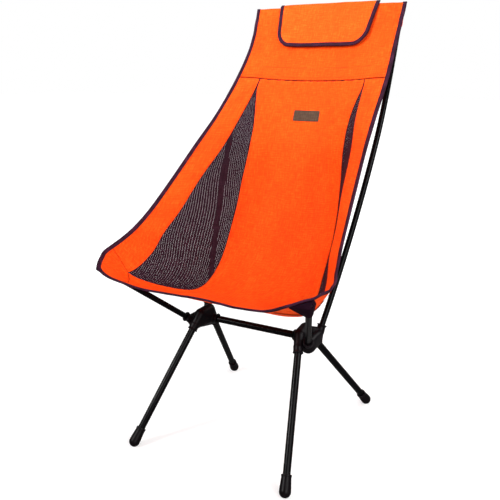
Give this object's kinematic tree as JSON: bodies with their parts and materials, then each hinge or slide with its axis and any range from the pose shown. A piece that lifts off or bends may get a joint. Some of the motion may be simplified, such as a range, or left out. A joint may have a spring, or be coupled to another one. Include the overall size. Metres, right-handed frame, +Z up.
{
  "type": "ultralight backpacking chair",
  "caption": "High-back camp chair: poles plugged into moulded hubs hold a sewn fabric seat with see-through mesh sides and a headrest flap.",
  "frame": {"origin": "on the ground, under the middle of the bounding box", "axes": "+Z up, +Y behind the sitter, +X to the sitter's left, across the chair"},
  "size_m": [0.5352, 0.6708, 0.9836],
  "materials": {
    "tube": "black anodised, glossy",
    "moulding": "dark moulded nylon, fine satin texture",
    "fabric": "orange ripstop polyester, plain weave",
    "mesh": "dark see-through polyester mesh",
    "tape": "dark purple grosgrain binding tape",
    "webbing": "black woven nylon",
    "label": "plain brown patch, nothing on it"
  },
  "bodies": {
    "chair": {"hub_left": "moulding", "arm_plug_left": "moulding", "back_pole_plug_left": "moulding", "arm_left": "tube", "back_pole_lower_left": "tube", "back_pole_upper_left": "tube", "back_pole_ferrule_left": "tube", "side_band_left": "fabric", "corner_patch_left": "fabric", "pocket_back_left": "fabric", "side_mesh_left": "mesh", "pocket_front_left": "webbing", "hub_right": "moulding", "arm_plug_right": "moulding", "back_pole_plug_right": "moulding", "arm_right": "tube", "back_pole_lower_right": "tube", "back_pole_upper_right": "tube", "back_pole_ferrule_right": "tube", "side_band_right": "fabric", "corner_patch_right": "fabric", "pocket_back_right": "fabric", "side_mesh_right": "mesh", "pocket_front_right": "webbing", "crossbar": "tube", "top_panel": "fabric", "centre_panel": "fabric", "edge_binding": "tape", "label_patch": "label"},
    "leg_front_left": {"leg_front_left": "tube", "foot_front_left": "moulding"},
    "leg_front_right": {"leg_front_right": "tube", "foot_front_right": "moulding"},
    "leg_rear_left": {"leg_rear_left": "tube", "foot_rear_left": "moulding"},
    "leg_rear_right": {"leg_rear_right": "tube", "foot_rear_right": "moulding"},
    "flap": {"headrest_flap": "fabric", "flap_binding": "tape"}
  },
  "joints": [
    {"name": "leg_front_left_slide", "type": "slide", "parent": "chair", "child": "leg_front_left", "axis": [-0.1897, -0.5743, -0.7963], "range_m": [0, 0.036], "stiffness_N_per_m": 200, "springref_m": -0.04},
    {"name": "leg_front_right_slide", "type": "slide", "parent": "chair", "child": "leg_front_right", "axis": [0.1897, -0.5743, -0.7963], "range_m": [0, 0.036], "stiffness_N_per_m": 200, "springref_m": -0.04},
    {"name": "leg_rear_left_slide", "type": "slide", "parent": "chair", "child": "leg_rear_left", "axis": [-0.1968, 0.6497, -0.7343], "range_m": [0, 0.025], "stiffness_N_per_m": 200, "springref_m": -0.04},
    {"name": "leg_rear_right_slide", "type": "slide", "parent": "chair", "child": "leg_rear_right", "axis": [0.1968, 0.6497, -0.7343], "range_m": [0, 0.025], "stiffness_N_per_m": 200, "springref_m": -0.04},
    {"name": "flap_hinge", "type": "hinge", "parent": "chair", "child": "flap", "pos_m": [0, 0.3179, 0.9834], "axis": [-1, 0, 0], "range_deg": [0, 300]}
  ]
}
